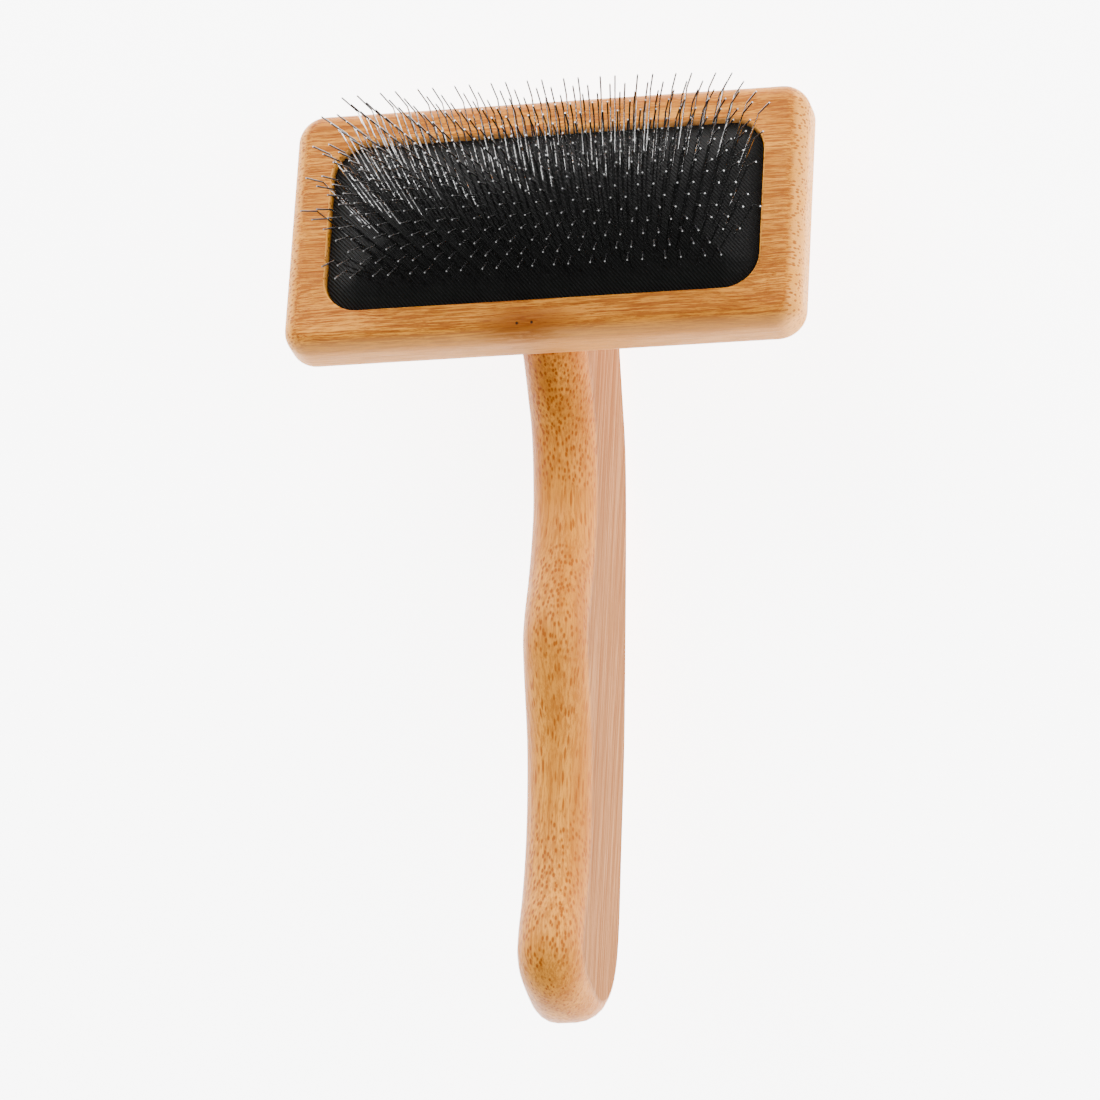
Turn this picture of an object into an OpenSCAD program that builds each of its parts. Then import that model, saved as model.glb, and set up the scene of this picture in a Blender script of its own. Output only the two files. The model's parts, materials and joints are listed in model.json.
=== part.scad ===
// Slicker brush: a wooden head with a sprung wire pad, on a curved flat-sided handle.
// Every sub-part is drawn in the head's own frame: origin at the middle of the head's
// front face, X across, Y away from the handle, Z out of the face. place() then lays
// the whole brush on its back, as it lies on a table.

/* [Head] */
// Width of the head across the handle
head_w = 112; // [105:1:125]
// Height of the head along the handle
head_h = 56.6; // [54:0.2:64]
// Thickness of the head
head_t = 11.5; // [11:0.5:14]
// Rounding of the front edges
front_round = 4.2; // [3:0.1:4.5]
// Rounding of the rear edges
rear_round = 3.4; // [2:0.1:4]
// Corner radius of the head, seen from the front
corner_r = 6.1; // [5:0.1:9]

/* [Pocket] */
// Width of the pocket that takes the pad
pocket_w = 94; // [88:0.5:96]
// Height of the pocket
pocket_h = 39.6; // [38:0.2:42]
// Corner radius of the pocket
pocket_r = 7.6; // [6:0.1:9]
// Depth of the pocket
pocket_depth = 7; // [6.5:0.1:7.5]

/* [Pad] */
// How far the pad's middle stands above its edge
crown = 4.8; // [3:0.1:5.5]
// Thickness of the woven face
cloth_t = 0.8; // [0.5:0.1:1]
// Thickness of the rubber under it
rubber_t = 1.2; // [0.8:0.1:1.4]

/* [Wires] */
// Wire diameter
wire_d = 0.36; // [0.3:0.02:0.5]
// Length from the crown to the knee
shank_len = 16; // [12:0.5:18]
// Length from the knee to the tip
tip_len = 5.3; // [4:0.1:7]
// Bend of the knee towards the handle
knee_bend = 30; // [15:1:45]
// Distance between the two legs of a staple
leg_gap = 2.67; // [2.2:0.01:3]

/* [Handle] */
// Thickness between the two flat sides
handle_t = 14.3; // [13:0.1:18]
// Rounding of the rear edges
handle_rear_r = 2.5; // [1.5:0.1:3.5]

/* [Hidden] */
$fn = 48;
nil = 0.05;
wood_pale = [0.86, 0.68, 0.44];
wood_tan = [0.84, 0.62, 0.38];
black = [0.05, 0.05, 0.06];
grey = [0.25, 0.25, 0.26];
steel = [0.75, 0.76, 0.78];

// lying pose: the brush is turned about X until it rests on the back of its neck
lie_angle = 27;
head_low = -head_h / 2;
head_back = -head_t;

// pad: edge height against the front face, gap to the pocket wall
edge_z = -1.5;
pad_gap = 0.4;
pad_hw = pocket_w / 2 - pad_gap;
pad_hh = pocket_h / 2 - pad_gap;
pad_r = pocket_r - pad_gap;
pad_steps = 9;
pad_flat = 0.94;
arc_steps = 5;
rubber_top = -cloth_t - nil;
wire_seat = rubber_top - rubber_t - wire_d / 2 - nil;
foam_top = wire_seat - wire_d / 2 - 0.3;

// wire field
rows = 18;
row_first = -13.9;
row_pitch = 1.48;
staple_pitch = 6.7;
row_shift = -0.3;
wire_sides = 6;
field_hw = 40.3;
field_mid = 1;
field_cut = 10;
shank_lean = 13.5;
row_fan = 27.5;
side_lean = 2.5;
splay = 0.46;
splay_by_row = 0.07;
splay_cube = 0.00011;
tip_splay = 1.2;

// handle: the front edge is a full round, cut by the two flat sides
half_t = handle_t / 2;
front_r = half_t + 0.1;
layers = 12;
curve_steps = 4;

// screws that hold the head on the handle
screw_y = [-16, 2];
screw_len = 22;
screw_r = 1.75;
screw_head_r = 3.8;
screw_head_t = 2.2;
screw_slot_w = 1;
screw_slot_t = 1;

// side outline of the handle: distance past the head's lower edge, distance behind
// its back, and edge rounding. Front edge first, round the butt, back along the rear.
handle_side = [
    [-24, -25, front_r],
    [-14, -14, front_r],
    [-5, -4.5, front_r],
    [1.3, 1.9, front_r],
    [7.4, 7, front_r],
    [13, 11, front_r],
    [24, 14.5, front_r],
    [32.3, 15.1, front_r],
    [41, 14.4, front_r],
    [50, 12.9, front_r],
    [57.6, 12.9, front_r],
    [66.3, 16.1, front_r],
    [77.6, 21, front_r],
    [88.3, 23.5, front_r],
    [98.2, 24.6, front_r],
    [108.3, 24.3, front_r],
    [117.5, 22.8, front_r],
    [124.9, 23.4, front_r],
    [130.6, 28.6, front_r],
    [133.1, 37.5, front_r],
    [131.9, 45.5, 5.5],
    [127.3, 51.9, 3.8],
    [119.5, 56.6, handle_rear_r],
    [109, 58.6, handle_rear_r],
    [89.5, 57, handle_rear_r],
    [69.7, 55.3, handle_rear_r],
    [52.2, 52.6, handle_rear_r],
    [34.6, 49.5, handle_rear_r],
    [17.3, 46.2, handle_rear_r],
    [5.5, 43.3, handle_rear_r],
    [-1, 40.89, handle_rear_r],
    [-6, 38.34, handle_rear_r],
    [-11, 35.8, handle_rear_r],
    [-16, 33.25, handle_rear_r],
    [-20.5, 30.96, handle_rear_r],
    [-25.5, 26, handle_rear_r],
    [-32, 18, handle_rear_r],
    [-38.8, 9, handle_rear_r],
    [-43.5, -1.5, handle_rear_r],
    [-45, -13, handle_rear_r],
    [-42, -24, handle_rear_r],
    [-34, -30, 5],
];

// a smooth closed curve through the outline's points
function spline(a, b, c, d, t) =
    0.5 * (2 * b + (c - a) * t + (2 * a - 5 * b + 4 * c - d) * t * t
    + (3 * b - a - 3 * c + d) * t * t * t);

function smooth(p, n) = [
    for (i = [0 : len(p) - 1], k = [0 : n - 1])
        spline(p[(i + len(p) - 1) % len(p)], p[i], p[(i + 1) % len(p)],
            p[(i + 2) % len(p)], k / n)
];

function inset(x, r) =
    abs(x) <= front_r - r ? 0 : r - sqrt(max(0, r * r - pow(abs(x) - front_r + r, 2)));

// direction into the handle, square to the outline at point i
function inward(p, i) =
    let (a = p[(i + len(p) - 1) % len(p)], b = p[(i + 1) % len(p)],
        d = [b[0] - a[0], b[1] - a[1]])
    [-d[1], d[0]] / norm(d);

handle_curve = smooth(handle_side, curve_steps);
lift = -min([for (p = handle_curve) if (p[1] > 0)
    -(head_low - p[0]) * sin(lie_angle) + (head_back - p[1]) * cos(lie_angle)]);

// the butt and the farthest wire tip decide the middle of the box
near_end = min([for (p = handle_curve)
    (head_low - p[0]) * cos(lie_angle) + (head_back - p[1]) * sin(lie_angle)]);
far_y = row_first + row_pitch * (rows - 1);
far_tip = leg([field_mid, far_y, pad_z(field_mid, far_y) + wire_seat], row_fan)[2];
far_end = far_tip[1] * cos(lie_angle) + far_tip[2] * sin(lie_angle);
middle = -(near_end + far_end) / 2;

module place() {
    translate([0, middle, lift])
        rotate([-lie_angle, 0, 0])
            children();
}

// ---- head ----

module edge_cutter(r) {
    difference() {
        square(r + 1);
        circle(r);
    }
}

module edge_profile(w) {
    difference() {
        translate([0, -head_t]) square([w, head_t]);
        translate([w - front_round, -front_round]) edge_cutter(front_round);
        translate([w - rear_round, -head_t + rear_round])
            mirror([0, 1]) edge_cutter(rear_round);
    }
}

module head_bar(reach, length) {
    rotate([90, 0, 0])
        translate([0, 0, -length / 2])
            linear_extrude(length)
                edge_profile(reach);
}

module head_body() {
    mid_w = head_w / 2 - corner_r;
    mid_h = head_h / 2 - corner_r;
    translate([-mid_w, -mid_h, -head_t]) cube([2 * mid_w, 2 * mid_h, head_t]);
    for (s = [0, 180])
        rotate(s) {
            translate([mid_w, 0, 0]) head_bar(corner_r, 2 * mid_h);
            translate([0, mid_h, 0]) rotate(90) head_bar(corner_r, 2 * mid_w);
            translate([mid_w, mid_h, 0]) rotate_extrude(angle = 90) edge_profile(corner_r);
            translate([-mid_w, mid_h, 0])
                rotate(90)
                    rotate_extrude(angle = 90) edge_profile(corner_r);
        }
}

module rounded_plate(w, h, r, z0, z1) {
    translate([0, 0, z0])
        linear_extrude(z1 - z0) {
            square([w - 2 * r, h], center = true);
            square([w, h - 2 * r], center = true);
            for (x = [-1, 1], y = [-1, 1])
                translate([x * (w / 2 - r), y * (h / 2 - r)]) circle(r);
        }
}

module screw_shape(gap) {
    top = -pocket_depth;
    translate([0, 0, top - screw_head_t])
        cylinder(h = screw_head_t, r1 = screw_r + gap, r2 = screw_head_r + gap);
    translate([0, 0, top - screw_len + screw_r])
        cylinder(h = screw_len - screw_r - screw_head_t / 2, r = screw_r + gap);
    translate([0, 0, top - screw_len])
        cylinder(h = screw_r, r1 = 0.3 + gap, r2 = screw_r + gap);
}

module head_block() {
    color(wood_pale)
        place()
            difference() {
                head_body();
                rounded_plate(pocket_w, pocket_h, pocket_r, -pocket_depth, 1);
                for (y = screw_y)
                    translate([0, y, 0]) screw_shape(nil);
            }
}

// ---- handle ----

module handle_body() {
    p = handle_curve;
    n = len(p);
    xs = [for (k = [0 : layers]) -front_r * cos(180 * k / layers)];
    points = [for (x = xs, i = [0 : n - 1])
        let (q = inward(p, i), d = inset(x, p[i][2]))
        [x, head_low - p[i][0] - q[0] * d, head_back - p[i][1] - q[1] * d]];
    walls = [for (k = [0 : layers - 1], i = [0 : n - 1])
        let (a = k * n + i, b = k * n + (i + 1) % n)
        each [[a, b + n, b], [a, a + n, b + n]]];
    first = [for (i = [0 : n - 1]) i];
    last = [for (i = [n - 1 : -1 : 0]) layers * n + i];
    polyhedron(points, concat(walls, [first], [last]));
}

module handle() {
    reach = 200;
    color(wood_tan)
        place()
            difference() {
                intersection() {
                    handle_body();
                    translate([-half_t, -reach, head_back - reach])
                        cube([handle_t, 2 * reach, reach]);
                }
                for (y = screw_y)
                    translate([0, y, 0]) screw_shape(nil);
            }
}

module screws() {
    color(steel)
        place()
            for (y = screw_y)
                translate([0, y, 0])
                    difference() {
                        screw_shape(0);
                        translate([-screw_head_r, -screw_slot_w / 2, -pocket_depth - screw_slot_t])
                            cube([2 * screw_head_r, screw_slot_w, 2 * screw_slot_t]);
                    }
}

// ---- pad ----

// height of the pad's face above its edge, from the distance to the nearest side
function swell(t) = crown * (1 - pow(1 - t, 2));

function pad_z(x, y) =
    edge_z + swell(max(0, min(pad_hw - abs(x), pad_hh - abs(y))) / pad_hh);

function ring(d, z) = [
    for (q = [0 : 3], k = [0 : arc_steps])
        let (r = max(pad_r - d, 0.2), a = 90 * q + 90 * k / arc_steps,
            sx = q == 0 || q == 3 ? 1 : -1, sy = q < 2 ? 1 : -1)
        [sx * (pad_hw - d - r) + r * cos(a), sy * (pad_hh - d - r) + r * sin(a), z]
];

module pillow(top, bottom, flat_bottom) {
    n = 4 * (arc_steps + 1);
    ts = [for (k = [0 : pad_steps]) pad_flat * k / pad_steps];
    upper = [for (t = ts) each ring(t * pad_hh, edge_z + top + swell(t))];
    lower = [for (t = ts)
        each ring(t * pad_hh, flat_bottom ? bottom : edge_z + bottom + swell(t))];
    base = (pad_steps + 1) * n;
    skin = [for (k = [0 : pad_steps - 1], i = [0 : n - 1])
        let (a = k * n + i, b = k * n + (i + 1) % n)
        each [[a, b + n, b], [a, a + n, b + n]]];
    under = [for (f = skin) [f[0] + base, f[2] + base, f[1] + base]];
    rim = [for (i = [0 : n - 1])
        let (j = (i + 1) % n)
        each [[i, j, j + base], [i, j + base, i + base]]];
    cap = [for (i = [n - 1 : -1 : 0]) pad_steps * n + i];
    floor_cap = [for (i = [0 : n - 1]) base + pad_steps * n + i];
    polyhedron(concat(upper, lower), concat(skin, under, rim, [cap], [floor_cap]));
}

module foam_cushion() {
    color(grey)
        place()
            pillow(foam_top, -pocket_depth + nil, true);
}

module pad_rubber() {
    color(black)
        place()
            pillow(rubber_top, rubber_top - rubber_t, false);
}

module pad_cloth() {
    color(black)
        place()
            pillow(0, -cloth_t, false);
}

// ---- wires ----

function unit(v) = v / norm(v);

// ring of wire_sides points round point p, square to the mean of its two runs;
// across is the direction the first point lies in
function wire_ring(p, k) =
    let (a = unit(p[k] - p[max(k - 1, 0)] + (k == 0 ? p[1] - p[0] : [0, 0, 0])),
        b = unit(p[min(k + 1, len(p) - 1)] - p[k] + (k == len(p) - 1 ? p[k] - p[k - 1]
        : [0, 0, 0])),
        m = unit(a + b), u = unit(cross(m, [0, 1, 0.2])), v = cross(m, u),
        w = cross(a, b), bend = norm(w) < 0.001 ? [0, 0, 0] : unit(cross(m, unit(w))),
        stretch = 1 / max(0.5, a * m) - 1)
    [for (i = [0 : wire_sides - 1])
        let (c = cos(360 * i / wire_sides) * u + sin(360 * i / wire_sides) * v)
        p[k] + wire_d / 2 * (c + stretch * (c * bend) * bend)];

module bent_wire(p) {
    n = len(p);
    points = [for (k = [0 : n - 1]) each wire_ring(p, k)];
    walls = [for (k = [0 : n - 2], i = [0 : wire_sides - 1])
        let (a = k * wire_sides + i, b = k * wire_sides + (i + 1) % wire_sides)
        each [[a, b + wire_sides, b], [a, a + wire_sides, b + wire_sides]]];
    first = [for (i = [0 : wire_sides - 1]) i];
    last = [for (i = [wire_sides - 1 : -1 : 0]) (n - 1) * wire_sides + i];
    polyhedron(points, concat(walls, [first], [last]));
}

// direction of a leg from its lean away from the handle and its lean along X
function leg_way(lean, side) =
    let (v = [tan(side), tan(lean), 1]) v / norm(v);

// the points of one leg, from its crown corner to its tip
function leg(e, fan) =
    let (side = side_lean + (splay + splay_by_row * fan / row_fan) * e[0]
        + splay_cube * pow(e[0], 3),
        knee = e + shank_len * leg_way(shank_lean + fan, side),
        tip = knee + tip_len * leg_way(shank_lean + fan - knee_bend, tip_splay * side))
    [e, knee, tip];

module staple(x, y, fan) {
    z = pad_z(x, y) + wire_seat;
    left = leg([x - leg_gap / 2, y, z], fan);
    right = leg([x + leg_gap / 2, y, z], fan);
    bent_wire([left[2], left[1], left[0], right[0], right[1], right[2]]);
}

module wire_row(k) {
    y = row_first + row_pitch * (k - 1);
    fan = row_fan * (2 * (k - 1) / (rows - 1) - 1);
    phase = row_shift * (k - 1) - floor(row_shift * (k - 1));
    reach = field_hw - max(0, abs(y) - pad_hh + field_cut);
    count = ceil(2 * field_hw / staple_pitch) + 1;
    color(steel)
        place()
            for (i = [0 : count]) {
                x = -field_hw + (i - 1 + phase) * staple_pitch;
                if (abs(x) + leg_gap / 2 < reach)
                    staple(x + field_mid, y, fan);
            }
}

module wire_row_01() { wire_row(1); }
module wire_row_02() { wire_row(2); }
module wire_row_03() { wire_row(3); }
module wire_row_04() { wire_row(4); }
module wire_row_05() { wire_row(5); }
module wire_row_06() { wire_row(6); }
module wire_row_07() { wire_row(7); }
module wire_row_08() { wire_row(8); }
module wire_row_09() { wire_row(9); }
module wire_row_10() { wire_row(10); }
module wire_row_11() { wire_row(11); }
module wire_row_12() { wire_row(12); }
module wire_row_13() { wire_row(13); }
module wire_row_14() { wire_row(14); }
module wire_row_15() { wire_row(15); }
module wire_row_16() { wire_row(16); }
module wire_row_17() { wire_row(17); }
module wire_row_18() { wire_row(18); }

head_block();
handle();
screws();
foam_cushion();
pad_rubber();
pad_cloth();
wire_row_01();
wire_row_02();
wire_row_03();
wire_row_04();
wire_row_05();
wire_row_06();
wire_row_07();
wire_row_08();
wire_row_09();
wire_row_10();
wire_row_11();
wire_row_12();
wire_row_13();
wire_row_14();
wire_row_15();
wire_row_16();
wire_row_17();
wire_row_18();
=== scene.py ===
import bpy
import bmesh
import json
import math
from mathutils import Matrix, Vector


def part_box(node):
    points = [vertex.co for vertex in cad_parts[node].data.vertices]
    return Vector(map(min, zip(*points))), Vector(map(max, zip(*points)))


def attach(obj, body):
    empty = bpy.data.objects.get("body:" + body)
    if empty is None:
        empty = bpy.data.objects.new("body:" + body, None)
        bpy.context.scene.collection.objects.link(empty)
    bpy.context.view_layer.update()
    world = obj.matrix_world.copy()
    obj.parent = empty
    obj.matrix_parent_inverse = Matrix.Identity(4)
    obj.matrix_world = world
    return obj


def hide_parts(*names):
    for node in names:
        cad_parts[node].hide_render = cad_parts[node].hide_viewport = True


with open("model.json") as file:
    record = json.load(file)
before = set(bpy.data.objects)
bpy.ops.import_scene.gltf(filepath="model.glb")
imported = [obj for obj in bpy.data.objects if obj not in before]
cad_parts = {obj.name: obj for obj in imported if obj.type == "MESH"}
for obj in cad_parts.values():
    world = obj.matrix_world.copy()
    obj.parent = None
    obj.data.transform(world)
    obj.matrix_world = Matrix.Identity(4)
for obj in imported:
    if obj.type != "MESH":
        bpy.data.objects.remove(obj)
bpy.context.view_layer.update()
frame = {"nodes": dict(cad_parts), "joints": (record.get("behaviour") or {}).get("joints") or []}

MM = 0.001

# ---- driving sizes, in millimetres, in the head's own frame ----
# (origin at the middle of the head's front face, X across, Y away from the handle, Z out)
HEAD_W, HEAD_H, HEAD_T = 112.0, 56.6, 11.5
FRONT_ROUND, REAR_ROUND, CORNER_R = 4.2, 3.4, 6.1
POCKET_W, POCKET_H, POCKET_R, POCKET_D = 94.0, 39.6, 7.6, 7.0
RIM_BREAK = 0.5
PAD_GAP, PAD_EDGE_Z, PAD_CROWN = 0.4, -1.5, 4.8

# the pad's hidden side, as depths below its edge, and the chamfer under it
PAD_SIDE_TOP, PAD_SIDE_END, PAD_UNDER, PAD_CHAMFER = 0.35, 1.6, 1.9, 0.5

# extra loops beside the roundings, which keep the shading of the flats flat
REAR_LOOP, FRONT_LOOP, FLOOR_LOOP = 0.6, 0.3, 0.1
SMALLEST_HEAD_R, SMALLEST_PAD_R = 0.6, 0.15

# a wire's faces further than SHANK_REACH from its crown are its bent tip; of those, the
# ones smaller than CUT_AREA (square metres) are the cut end
SHANK_REACH, CROWN_HEIGHT, CUT_AREA = 15.7, 1.0, 1.2e-7

# steps of the curved shapes
ARC_STEPS, SIDE_STEPS = 10, (26, 12)
ROUND_STEPS, RIM_STEPS = 8, 3
CROWN_STEPS, CROWN_REACH = 26, 0.985

# edges sharper than these angles, in degrees, stay sharp
HEAD_SHARP, PAD_SHARP, HANDLE_SHARP, WIRE_SHARP = 35, 60, 40, 50
FLAT_SIDE = 0.9999
SAME_SPOT = 1e-6

# camera, as seen from the head: turned to the right, up from the handle's side
VIEW_YAW, VIEW_PITCH, VIEW_ROLL = 15.32, 24.0, 3.35
VIEW_DISTANCE, VIEW_LENS = 1423.8, 221.55
AIM_RIGHT, AIM_DOWN = -1.485, -70.69

# light
FLOOR_GLOW = 7.0
SKY = 0.55
KEY_POWER, SIDE_POWER = 21, 9

# wood: base colours
HEAD_GROUND, HEAD_PALE = (0.50, 0.178, 0.015), (0.70, 0.280, 0.028)
# HEAD_LOWER_REFLECTION is a painted reflection: the paler tone of the head's side towards the handle
HEAD_CREAM, HEAD_LOWER_REFLECTION = (0.74, 0.32, 0.062), (0.80, 0.37, 0.115)
HEAD_STREAK, HEAD_DARK = (0.29, 0.078, 0.008), (0.20, 0.046, 0.005)
HANDLE_GROUND, HANDLE_PALE = (0.53, 0.190, 0.017), (0.74, 0.300, 0.036)
# HANDLE_STREAK_AND_SHADE is the streaks' tone and also the painted shade on the handle's rounded
# edges and butt
HANDLE_STREAK_AND_SHADE, HANDLE_FLECK = (0.37, 0.110, 0.008), (0.30, 0.076, 0.004)
# SIDE_PALE_AND_SHEEN is partly the sawn sides' own tone and partly a painted reflection of the
# grazing light
SIDE_PALE_AND_SHEEN, SIDE_LINE = (0.33, 0.158, 0.074), (0.19, 0.075, 0.031)
# painted shade: the near-black inside the cane node's two pits
PIT_SHADE = (0.02, 0.010, 0.005)

# wood: finish, with the grain's height in metres
WOOD_ROUGH, GRAIN_ROUGH = 0.36, 0.14
HEAD_SHINE, HANDLE_SHINE = 0.05, 0.06
GRAIN_HEIGHT, GRAIN_STRENGTH = 0.00006, 0.5
SWAY, SWAY_SCALE = 1.2, 0.03

# wood: the places of the marks in the head's frame
MARK_AT, PIT_GAP = (-2.7, -25.2), 3.2
MARK_SPREAD = (0.11, 0.32)
FIBRE_TILT = 8
DOT_BELTS = [(-38, 12), (-77, 12), (-138, 16), (-169, 7)]
# where the painted shade on the butt starts and how far it fades in
BUTT_SHADE_FROM, BUTT_SHADE_FADE = -156, 10
RAGGED = 8.0

# cloth: two sets of diagonal threads, as lean and radians per millimetre
RIB_LEAN, RIB_RATE = 0.9, 7.5
THREAD_LEAN, THREAD_RATE = 1.1, 11.0
CLOTH_DARK, CLOTH_PALE = (0.0010, 0.0010, 0.0009), (0.0028, 0.0028, 0.0026)

# ---- the head's frame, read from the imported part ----
press = next(j for j in frame["joints"] if j["name"] == "pad_press")
normal = Vector(press["axis"]).normalized()
LIE = math.atan2(normal.y, normal.z)
low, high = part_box("head_block")
head_mid = (Vector(low) + Vector(high)) / 2
origin = head_mid + normal * HEAD_T / 2 * MM
TO_WORLD = Matrix.Translation(origin) @ Matrix.Rotation(-LIE, 4, "X") @ Matrix.Scale(MM, 4)
TO_HEAD = TO_WORLD.inverted()


# ---- materials ----

class Nodes:
    """A short way to write a material's node tree."""

    def __init__(self, name):
        self.mat = bpy.data.materials.new(name)
        self.mat.use_nodes = True
        self.tree = self.mat.node_tree
        self.shader = self.tree.nodes["Principled BSDF"]

    def put(self, socket, value):
        if value is None:
            return
        if isinstance(value, bpy.types.NodeSocket):
            self.tree.links.new(value, socket)
        elif isinstance(value, (tuple, list)) and len(value) == 3 and socket.type == "RGBA":
            socket.default_value = (*value, 1)
        else:
            socket.default_value = value

    def set(self, name, value):
        self.put(self.shader.inputs[name], value)

    def math(self, op, a, b=None, c=None):
        n = self.tree.nodes.new("ShaderNodeMath")
        n.operation = op
        for i, v in enumerate((a, b, c)):
            self.put(n.inputs[i], v)
        return n.outputs[0]

    def scaled(self, value, k):
        return self.math("MULTIPLY", value, k)

    def inverse(self, value):
        return self.math("SUBTRACT", 1.0, value)

    def distance(self, a, b):
        return self.math("SQRT", self.math("ADD", self.math("POWER", a, 2.0),
                                           self.math("POWER", b, 2.0)))

    def mix(self, f, a, b):
        n = self.tree.nodes.new("ShaderNodeMix")
        n.data_type = "RGBA"
        # sockets 6 and 7 in and 2 out are the colour ones
        self.put(n.inputs["Factor"], f)
        self.put(n.inputs[6], a)
        self.put(n.inputs[7], b)
        return n.outputs[2]

    def tint(self, body, tone, mask, strength):
        """Body, with tone over it where the mask is 1."""
        return self.mix(self.scaled(mask, strength), body, tone)

    def rise(self, value, start, full, first=0.0, last=1.0):
        """First up to start, last from full on, smooth between."""
        n = self.tree.nodes.new("ShaderNodeMapRange")
        n.interpolation_type = "SMOOTHSTEP"
        for i, x in enumerate((value, start, full, first, last)):
            self.put(n.inputs[i], x)
        return n.outputs[0]

    def fall(self, value, start, end):
        return self.rise(value, start, end, 1.0, 0.0)

    def noise(self, vec, scale, detail, rough=0.5):
        n = self.tree.nodes.new("ShaderNodeTexNoise")
        self.put(n.inputs["Vector"], vec)
        n.inputs["Scale"].default_value = scale
        n.inputs["Detail"].default_value = detail
        n.inputs["Roughness"].default_value = rough
        return n.outputs["Fac"]

    def voronoi(self, vec, scale, random):
        n = self.tree.nodes.new("ShaderNodeTexVoronoi")
        self.put(n.inputs["Vector"], vec)
        n.inputs["Scale"].default_value = scale
        n.inputs["Randomness"].default_value = random
        return n.outputs

    def vec(self, x, y, z):
        n = self.tree.nodes.new("ShaderNodeCombineXYZ")
        for i, v in enumerate((x, y, z)):
            self.put(n.inputs[i], v)
        return n.outputs[0]

    def split(self, v):
        n = self.tree.nodes.new("ShaderNodeSeparateXYZ")
        self.put(n.inputs[0], v)
        return n.outputs

    def bump(self, height, distance, strength):
        n = self.tree.nodes.new("ShaderNodeBump")
        n.inputs["Strength"].default_value = strength
        n.inputs["Distance"].default_value = distance
        self.put(n.inputs["Height"], height)
        return n.outputs[0]

    def head_coords(self):
        """The point in millimetres in the head's frame."""
        c = self.tree.nodes.new("ShaderNodeTexCoord")
        shift = self.tree.nodes.new("ShaderNodeVectorMath")
        shift.operation = "SUBTRACT"
        self.put(shift.inputs[0], c.outputs["Object"])
        shift.inputs[1].default_value = origin
        turn = self.tree.nodes.new("ShaderNodeVectorRotate")
        turn.rotation_type = "X_AXIS"
        self.put(turn.inputs["Vector"], shift.outputs[0])
        turn.inputs["Angle"].default_value = LIE
        grow = self.tree.nodes.new("ShaderNodeVectorMath")
        grow.operation = "SCALE"
        self.put(grow.inputs[0], turn.outputs[0])
        grow.inputs["Scale"].default_value = 1 / MM
        return self.split(grow.outputs[0])

    def surface_normal(self):
        g = self.tree.nodes.new("ShaderNodeNewGeometry")
        return self.split(g.outputs["Normal"])


class Bamboo(Nodes):
    """Fibre bundles run along one line: streaks where the surface follows them, dots where
    it cuts them. The three directions turn head coordinates into fibre coordinates."""

    def __init__(self, name, along, across, deep):
        super().__init__(name)
        self.x, self.y, self.z = self.head_coords()
        self.u, self.v, self.w = (self.line(k) for k in (along, across, deep))
        wander = self.noise(self.vec(self.u, self.v, self.w), SWAY_SCALE, detail=2)
        sway = self.math("MULTIPLY_ADD", wander, 2 * SWAY, -SWAY)
        self.v = self.math("ADD", self.v, sway)
        self.w = self.math("SUBTRACT", self.w, sway)

    def line(self, k):
        s = self.math("MULTIPLY", self.x, k[0])
        s = self.math("MULTIPLY_ADD", self.y, k[1], s)
        return self.math("MULTIPLY_ADD", self.z, k[2], s)

    def stretched(self, shrink):
        return self.vec(self.math("MULTIPLY", self.u, shrink), self.v, self.w)

    def streaks(self, shrink, scale, detail, start, full, rough=0.5):
        """Streaks drawn out along the fibres, where the noise is above start."""
        return self.rise(self.noise(self.stretched(shrink), scale, detail, rough), start, full)

    def bundles(self, shrink, scale, small, large, share):
        """Round cores of fibre bundles, drawn out along the fibres. About share of the cells
        has one, fading from small to large."""
        cell = self.voronoi(self.stretched(shrink), scale, random=0.85)
        chosen = self.rise(self.split(cell["Color"])[0], 1 - share, 1.15 - share)
        return self.math("MULTIPLY", self.fall(cell["Distance"], small, large), chosen)

    def belt(self, value, middle, half):
        """One near middle, fading out from a little inside half to a little outside it."""
        far = self.math("ABSOLUTE", self.math("SUBTRACT", value, middle))
        return self.fall(far, half * 0.8, half * 1.25)

    def finish(self, body, grain, pores, shine):
        self.set("Base Color", body)
        self.set("Roughness", self.math("MULTIPLY_ADD", grain, GRAIN_ROUGH, WOOD_ROUGH))
        self.set("Specular IOR Level", shine)
        height = self.math("SUBTRACT", grain, pores)
        self.set("Normal", self.bump(height, GRAIN_HEIGHT, GRAIN_STRENGTH))
        return self.mat


def head_wood():
    m = Bamboo("bamboo_head", along=(1, 0, 0), across=(0, 1, 0), deep=(0, 0, 1))
    n = m.surface_normal()
    band = m.streaks(shrink=0.03, scale=0.22, detail=3, start=0.32, full=0.68)
    thin = m.streaks(shrink=0.03, scale=2.0, detail=4, rough=0.8, start=0.46, full=0.55)
    hair = m.streaks(shrink=0.05, scale=4.0, detail=3, rough=0.8, start=0.49, full=0.60)
    core = m.bundles(shrink=0.06, scale=1.25, small=0.12, large=0.26, share=0.75)
    body = m.mix(band, HEAD_GROUND, HEAD_PALE)
    body = m.tint(body, HEAD_STREAK, thin, strength=0.85)
    body = m.tint(body, HEAD_DARK, hair, strength=0.65)
    body = m.tint(body, HEAD_DARK, core, strength=0.50)
    body = head_ends(m, n, body, band)
    # painted reflection: the side towards the handle made paler
    body = head_lower_reflection(m, n, body)
    body, pit = cane_node(m, body, thin)
    return m.finish(body, thin, m.math("ADD", core, m.scaled(pit, 3.0)), HEAD_SHINE)


def head_ends(m, n, body, band):
    """The cut ends: brown dots on cream."""
    end = m.rise(m.math("ABSOLUTE", n[0]), 0.22, 0.55)
    dots = m.bundles(shrink=0.05, scale=1.35, small=0.27, large=0.42, share=1.10)
    ends = m.tint(m.mix(band, HEAD_CREAM, HEAD_PALE), HEAD_STREAK, dots, strength=0.90)
    return m.tint(body, ends, end, strength=0.9)


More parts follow.
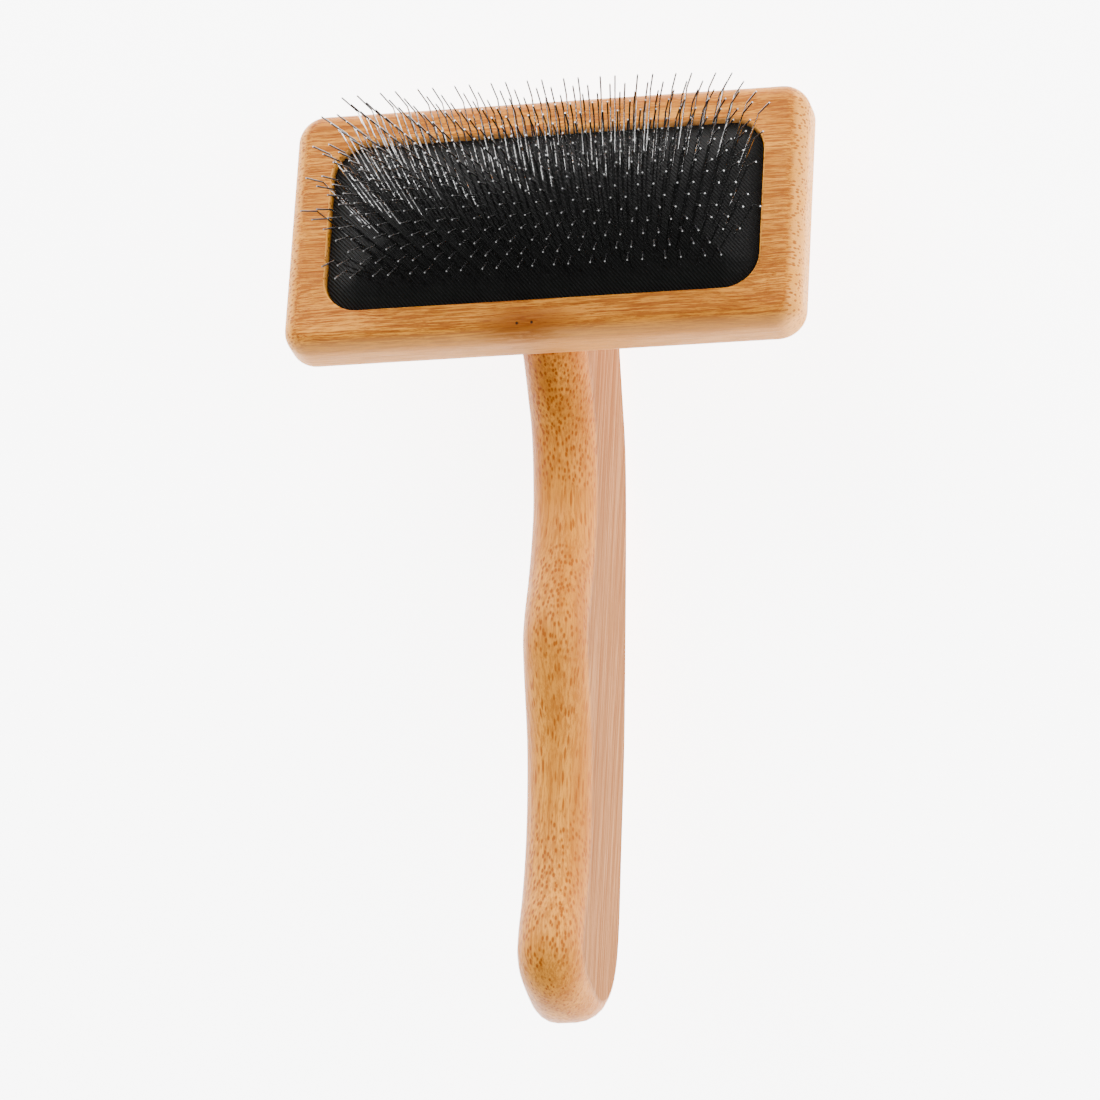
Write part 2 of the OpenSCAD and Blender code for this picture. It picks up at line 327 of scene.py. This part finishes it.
def head_lower_reflection(m, n, body):
    """The side towards the handle is paler: a painted reflection of the bright surroundings, seen at
    a grazing angle.
    """
    away = m.math("SUBTRACT", m.scaled(n[2], math.sin(LIE)), m.scaled(n[1], math.cos(LIE)))
    return m.tint(body, HEAD_LOWER_REFLECTION, m.rise(away, 0.35, 0.9), strength=0.6)


def cane_node(m, body, thin):
    """The node of the cane: a darker patch with two pits, which are painted almost black as the shade
    inside them.
    """
    dx = m.math("SUBTRACT", m.x, MARK_AT[0])
    dy = m.math("SUBTRACT", m.y, MARK_AT[1])
    far = m.distance(m.scaled(dx, MARK_SPREAD[0]), m.scaled(dy, MARK_SPREAD[1]))
    ragged = m.math("ADD", far, m.math("MULTIPLY_ADD", thin, 0.7, -0.3))
    body = m.tint(body, HEAD_DARK, m.fall(ragged, 0.2, 1.4), strength=0.75)
    side = m.math("SUBTRACT", m.math("ABSOLUTE", dx), PIT_GAP / 2)
    pit = m.fall(m.distance(side, dy), 0.18, 0.42)
    return m.tint(body, PIT_SHADE, pit, strength=0.95), pit


def handle_wood():
    tilt = math.radians(FIBRE_TILT)
    m = Bamboo("bamboo_handle", along=(0, math.cos(tilt), math.sin(tilt)), across=(1, 0, 0),
               deep=(0, -math.sin(tilt), math.cos(tilt)))
    sideways = m.math("ABSOLUTE", m.surface_normal()[0])
    flat = m.rise(sideways, 0.93, 0.995)
    cloudy = m.noise(m.vec(m.x, m.y, m.z), 0.25, detail=3)
    along = m.math("ADD", m.y, m.math("MULTIPLY_ADD", cloudy, 2 * RAGGED, -RAGGED))
    dotted = m.belt(along, *DOT_BELTS[0])
    for middle, half in DOT_BELTS[1:]:
        dotted = m.math("MAXIMUM", dotted, m.belt(along, middle, half))
    band = m.streaks(shrink=0.05, scale=0.20, detail=3, start=0.30, full=0.70)
    thin = m.streaks(shrink=0.05, scale=1.3, detail=4, rough=0.7, start=0.44, full=0.60)
    hair = m.streaks(shrink=0.08, scale=3.0, detail=3, rough=0.75, start=0.48, full=0.64)
    core = m.bundles(shrink=0.46, scale=1.34, small=0.25, large=0.40, share=1.10)
    halo = m.bundles(shrink=0.46, scale=1.34, small=0.34, large=0.60, share=1.10)
    dash = m.bundles(shrink=0.13, scale=1.15, small=0.20, large=0.36, share=0.95)
    flecks = m.math("MULTIPLY", core, dotted)
    halos = m.math("MULTIPLY", halo, dotted)
    dashes = m.math("MULTIPLY", dash, m.inverse(dotted))
    body = m.mix(band, HANDLE_GROUND, HANDLE_PALE)
    body = m.tint(body, HANDLE_STREAK_AND_SHADE, thin, strength=0.62)
    body = m.tint(body, HANDLE_STREAK_AND_SHADE, hair, strength=0.50)
    body = m.tint(body, HANDLE_STREAK_AND_SHADE, halos, strength=0.55)
    body = m.tint(body, HANDLE_FLECK, flecks, strength=0.95)
    body = m.tint(body, HANDLE_FLECK, dashes, strength=0.85)
    # painted shade: darker on the rounded edges, where they turn away from the light, and on the butt
    edge_shade = m.math("MULTIPLY", m.rise(sideways, 0.35, 0.9), m.inverse(flat))
    butt_shade = m.rise(along, BUTT_SHADE_FROM, BUTT_SHADE_FROM - BUTT_SHADE_FADE)
    body = m.tint(body, HANDLE_STREAK_AND_SHADE, m.math("MAXIMUM", edge_shade, butt_shade), strength=0.5)
    # the sawn flat sides, whose pale tone is partly a painted reflection
    body = m.tint(body, sawn_side(m), flat, strength=0.95)
    shine = m.math("MULTIPLY_ADD", flat, -HANDLE_SHINE, HANDLE_SHINE)
    return m.finish(body, thin, flecks, shine)


def sawn_side(m):
    """The sawn flat sides: fine stripes on a pale tone, which is partly the wood's own and partly a
    painted reflection of the light at a grazing angle. The second set is read 7 mm off, so that the
    two don't follow each other."""
    broad = m.noise(m.vec(m.scaled(m.y, 0.012), 0.0, m.z), 1.2, detail=3, rough=0.7)
    fine = m.noise(m.vec(m.scaled(m.y, 0.03), 7.0, m.z), 2.8, detail=2, rough=0.6)
    sawn = m.tint(SIDE_PALE_AND_SHEEN, SIDE_LINE, m.rise(broad, 0.42, 0.58), strength=0.9)
    return m.tint(sawn, SIDE_LINE, m.rise(fine, 0.46, 0.56), strength=0.6)


def cloth():
    m = Nodes("black_twill")
    x, y, z = m.head_coords()
    rib_run = m.math("ADD", x, m.scaled(y, RIB_LEAN))
    thread_run = m.math("SUBTRACT", x, m.scaled(y, THREAD_LEAN))
    rib = m.math("SINE", m.scaled(rib_run, RIB_RATE))
    thread = m.math("SINE", m.scaled(thread_run, THREAD_RATE))
    weave = m.math("MULTIPLY_ADD", thread, 0.35, rib)
    cloudy = m.noise(m.vec(x, y, z), 0.12, detail=3)
    m.set("Base Color", m.mix(m.rise(cloudy, 0.3, 0.7), CLOTH_DARK, CLOTH_PALE))
    m.set("Roughness", 0.60)
    m.set("Specular IOR Level", 0.10)
    m.set("Normal", m.bump(weave, distance=0.00008, strength=0.8))
    return m.mat


def steel(name, tone, rough):
    """Bare metal, a little darker in places."""
    m = Nodes(name)
    grain = m.noise(m.vec(*m.head_coords()), 2.5, detail=2)
    m.set("Base Color", m.mix(grain, tuple(c * 0.85 for c in tone), tone))
    m.set("Metallic", 1.0)
    m.set("Roughness", rough)
    return m.mat


def plain(name, tone, rough, relief):
    """A matt rubber or foam, finely pitted."""
    m = Nodes(name)
    pits = m.noise(m.vec(*m.head_coords()), 1.2, detail=4)
    m.set("Base Color", m.mix(pits, tuple(c * 0.75 for c in tone), tone))
    m.set("Roughness", rough)
    m.set("Normal", m.bump(pits, distance=0.0001, strength=relief))
    return m.mat


# ---- geometry helpers ----

def make(name, verts, faces, mat, body, nodes):
    mesh = bpy.data.meshes.new(name)
    mesh.from_pydata([TO_WORLD @ Vector(v) for v in verts], [], faces)
    mesh.update()
    obj = bpy.data.objects.new(name, mesh)
    bpy.context.collection.objects.link(obj)
    finish_piece(obj, mat, body, nodes)
    return obj


def finish_piece(obj, mat, body, nodes):
    repaint(obj, mat)
    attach(obj, body)
    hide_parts(*nodes)


def repaint(obj, *mats):
    obj.data.materials.clear()
    for mat in mats:
        obj.data.materials.append(mat)


def ring(w, h, r, z):
    """A rounded rectangle's points, always the same number of them."""
    corners = ((1, 1), (-1, 1), (-1, -1), (1, -1))

    def spot(corner, turn):
        a = math.radians(90 * turn)
        return (corner[0] * (w / 2 - r) + r * math.cos(a),
                corner[1] * (h / 2 - r) + r * math.sin(a), z)

    pts = []
    for q in range(4):
        pts += [spot(corners[q], q + k / ARC_STEPS) for k in range(ARC_STEPS + 1)]
        first, last = spot(corners[q], q + 1), spot(corners[(q + 1) % 4], q + 1)
        steps = SIDE_STEPS[q % 2]
        for k in range(1, steps):
            t = k / steps
            pts.append(tuple(a + (b - a) * t for a, b in zip(first, last)))
    return pts


def loft(rings):
    """A closed skin over rings that all have the same number of points."""
    n = len(rings[0])
    verts = [p for r in rings for p in r]
    faces = []
    for start in range(0, len(verts) - n, n):
        for i in range(n):
            j = (i + 1) % n
            faces.append((start + i, start + j, start + n + j, start + n + i))
    faces.append(tuple(reversed(range(n))))
    faces.append(tuple(range(len(verts) - n, len(verts))))
    return verts, faces


def soften(bm, degrees):
    """Smooth shading, but for the edges that are sharper than so many degrees."""
    for f in bm.faces:
        f.smooth = True
    for e in bm.edges:
        if len(e.link_faces) == 2:
            e.smooth = e.calc_face_angle(0) < math.radians(degrees)


def smooth_by_angle(obj, degrees):
    bm = bmesh.new()
    bm.from_mesh(obj.data)
    bmesh.ops.recalc_face_normals(bm, faces=bm.faces)
    soften(bm, degrees)
    bm.to_mesh(obj.data)
    bm.free()


def quarter(steps):
    """Sine and cosine from 0 to 90 degrees."""
    turns = [math.radians(90 * k / steps) for k in range(steps + 1)]
    return [(math.sin(a), math.cos(a)) for a in turns]


# ---- pieces ----

def head():
    rings = []

    def outer(inset, z):
        r = max(CORNER_R - inset, SMALLEST_HEAD_R)
        rings.append(ring(HEAD_W - 2 * inset, HEAD_H - 2 * inset, r, z))

    def pocket(grow, z):
        rings.append(ring(POCKET_W + 2 * grow, POCKET_H + 2 * grow, POCKET_R + grow, z))

    outer(REAR_ROUND + REAR_LOOP, -HEAD_T)
    for s, c in quarter(ROUND_STEPS):
        outer(REAR_ROUND * (1 - s), -HEAD_T + REAR_ROUND * (1 - c))
    for s, c in quarter(ROUND_STEPS):
        outer(FRONT_ROUND * (1 - c), -FRONT_ROUND * (1 - s))
    outer(FRONT_ROUND + FRONT_LOOP, 0)
    pocket(RIM_BREAK + FRONT_LOOP, 0)
    for s, c in quarter(RIM_STEPS):
        pocket(RIM_BREAK * (1 - s), -RIM_BREAK * (1 - c))
    pocket(0, -POCKET_D + FLOOR_LOOP)
    pocket(0, -POCKET_D)
    verts, faces = loft(rings)
    obj = make("head_wood_block", verts, faces, head_wood(), "wood", ["head_block"])
    smooth_by_angle(obj, HEAD_SHARP)


def pad():
    hw, hh, r = POCKET_W / 2 - PAD_GAP, POCKET_H / 2 - PAD_GAP, POCKET_R - PAD_GAP

    def inside(inset, z):
        corner = max(r - inset, SMALLEST_PAD_R)
        return ring(2 * (hw - inset), 2 * (hh - inset), corner, PAD_EDGE_Z + z)

    rings = [inside(PAD_CHAMFER, -PAD_UNDER), inside(0, -PAD_SIDE_END), inside(0, -PAD_SIDE_TOP)]
    for k in range(CROWN_STEPS + 1):
        t = CROWN_REACH * k / CROWN_STEPS
        rings.append(inside(t * hh, PAD_CROWN * (1 - (1 - t) ** 2)))
    verts, faces = loft(rings)
    obj = make("pad_face", verts, faces, cloth(), "pad", ["pad_cloth"])
    smooth_by_angle(obj, PAD_SHARP)


def copy_of(node, name, mat, body, sharp, flat_sides=False):
    """A smooth-shaded copy of a CAD node's own mesh."""
    src = frame["nodes"][node]
    obj = bpy.data.objects.new(name, src.data.copy())
    bpy.context.collection.objects.link(obj)
    obj.matrix_world = src.matrix_world.copy()
    if obj.data.attributes.get("custom_normal"):
        obj.data.attributes.remove(obj.data.attributes["custom_normal"])
    bm = bmesh.new()
    bm.from_mesh(obj.data)
    bmesh.ops.remove_doubles(bm, verts=bm.verts, dist=SAME_SPOT)
    soften(bm, sharp)
    if flat_sides:
        part_flat_sides(bm)
    bm.to_mesh(obj.data)
    bm.free()
    finish_piece(obj, mat, body, [node])
    return obj


def part_flat_sides(bm):
    """A sharp edge round the flat sides, so that their shading stays flat."""
    for e in bm.edges:
        sides = {abs(f.normal.x) > FLAT_SIDE for f in e.link_faces}
        if len(e.link_faces) == 2 and len(sides) == 2:
            e.smooth = False


def wires():
    shank = steel("pin_steel", tone=(0.74, 0.74, 0.74), rough=0.07)
    # painted shade: the bent tips get a near-black steel for the dark they show
    shaded_tip = steel("pin_tip_painted_shade", tone=(0.10, 0.10, 0.10), rough=0.28)
    cut = steel("pin_cut_end", tone=(0.60, 0.60, 0.60), rough=0.45)
    for name in sorted(frame["nodes"]):
        if name.startswith("wire_row_"):
            obj = copy_of(name, "pins_" + name[-2:], shank, "pad", WIRE_SHARP)
            repaint(obj, shank, shaded_tip, cut)
            tips_apart(obj)


def tips_apart(obj):
    """Give each staple's bent tips and cut ends their own materials, the second and third; the second
    is a near-black steel that paints the shade on the bent tips.
    """
    bm = bmesh.new()
    bm.from_mesh(obj.data)
    to_head = TO_HEAD @ obj.matrix_world
    for staple in loose_parts(bm):
        spots = [to_head @ v.co for f in staple for v in f.verts]
        lowest = min(p.z for p in spots)
        base = [p for p in spots if p.z < lowest + CROWN_HEIGHT]
        crown = sum(base, Vector()) / len(base)
        for f in staple:
            if (to_head @ f.calc_center_median() - crown).length > SHANK_REACH:
                f.material_index = 2 if f.calc_area() < CUT_AREA else 1
    bm.to_mesh(obj.data)
    bm.free()


def loose_parts(bm):
    """The mesh's faces, grouped by the part that they hang together in."""
    seen = set()
    for start in bm.faces:
        if start in seen:
            continue
        part, todo = [], [start]
        seen.add(start)
        while todo:
            face = todo.pop()
            part.append(face)
            for e in face.edges:
                fresh = [f for f in e.link_faces if f not in seen]
                seen.update(fresh)
                todo += fresh
        yield part


# ---- stage ----

def floor():
    reach = 4.0
    mesh = bpy.data.meshes.new("floor")
    mesh.from_pydata([(-reach, -reach, 0), (reach, -reach, 0), (reach, reach, 0), (-reach, reach, 0)],
                     [], [(0, 1, 2, 3)])
    obj = bpy.data.objects.new("floor", mesh)
    bpy.context.collection.objects.link(obj)
    m = Nodes("pale_floor")
    m.set("Base Color", (0.92, 0.92, 0.92))
    m.set("Roughness", 0.9)
    m.set("Specular IOR Level", 0.1)
    m.set("Emission Color", (1, 1, 1))
    m.set("Emission Strength", FLOOR_GLOW)
    obj.data.materials.append(m.mat)


def area(name, where, look, size, power):
    """A lamp, with its place and aim in the head's frame and its size in metres."""
    data = bpy.data.lights.new(name, "AREA")
    data.shape = "RECTANGLE"
    data.size, data.size_y = size
    data.energy = power
    obj = bpy.data.objects.new(name, data)
    bpy.context.collection.objects.link(obj)
    at, to = TO_WORLD @ Vector(where), TO_WORLD @ Vector(look)
    obj.matrix_world = Matrix.Translation(at) @ (at - to).to_track_quat("Z", "Y").to_matrix().to_4x4()


def lights():
    world = bpy.data.worlds.new("studio")
    bpy.context.scene.world = world
    world.use_nodes = True
    bg = world.node_tree.nodes["Background"]
    bg.inputs["Color"].default_value = (1, 1, 1, 1)
    bg.inputs["Strength"].default_value = SKY
    area("key", where=(-350, 500, 900), look=(0, -60, 0), size=(0.9, 0.7), power=KEY_POWER)
    area("side", where=(800, -150, 500), look=(0, -60, -20), size=(0.7, 0.9), power=SIDE_POWER)


def camera():
    """The camera's axes are right, down and ahead, as rows, in the head's frame."""
    yaw, pitch, roll = (math.radians(a) for a in (VIEW_YAW, VIEW_PITCH, VIEW_ROLL))
    facing = Matrix(((1, 0, 0), (0, -1, 0), (0, 0, -1)))
    rolled = Matrix.Rotation(roll, 3, "Z") @ facing
    view = rolled @ Matrix.Rotation(-pitch, 3, "X") @ Matrix.Rotation(-yaw, 3, "Y")
    spot = -(view.transposed() @ Vector((AIM_RIGHT, AIM_DOWN, VIEW_DISTANCE)))
    right, down, ahead = view
    turn = Matrix((right, -Vector(down), -Vector(ahead))).transposed().to_4x4()
    data = bpy.data.cameras.new("camera")
    data.lens = VIEW_LENS
    data.sensor_width = 36
    data.clip_end = 20
    obj = bpy.data.objects.new("camera", data)
    bpy.context.collection.objects.link(obj)
    spin = Matrix.Rotation(-LIE, 4, "X")
    obj.matrix_world = Matrix.Translation(TO_WORLD @ spot) @ spin @ turn
    bpy.context.scene.camera = obj


head()
pad()
copy_of("handle", "handle_wood_grip", handle_wood(), "wood", HANDLE_SHARP,
        flat_sides=True)
wires()
repaint(frame["nodes"]["screws"], steel("screw_zinc", tone=(0.55, 0.55, 0.56), rough=0.35))
repaint(frame["nodes"]["foam_cushion"], plain("foam", (0.03, 0.03, 0.032), 0.9, relief=0.8))
repaint(frame["nodes"]["pad_rubber"], plain("rubber", (0.012, 0.012, 0.012), 0.6, relief=0.4))
floor()
lights()
camera()
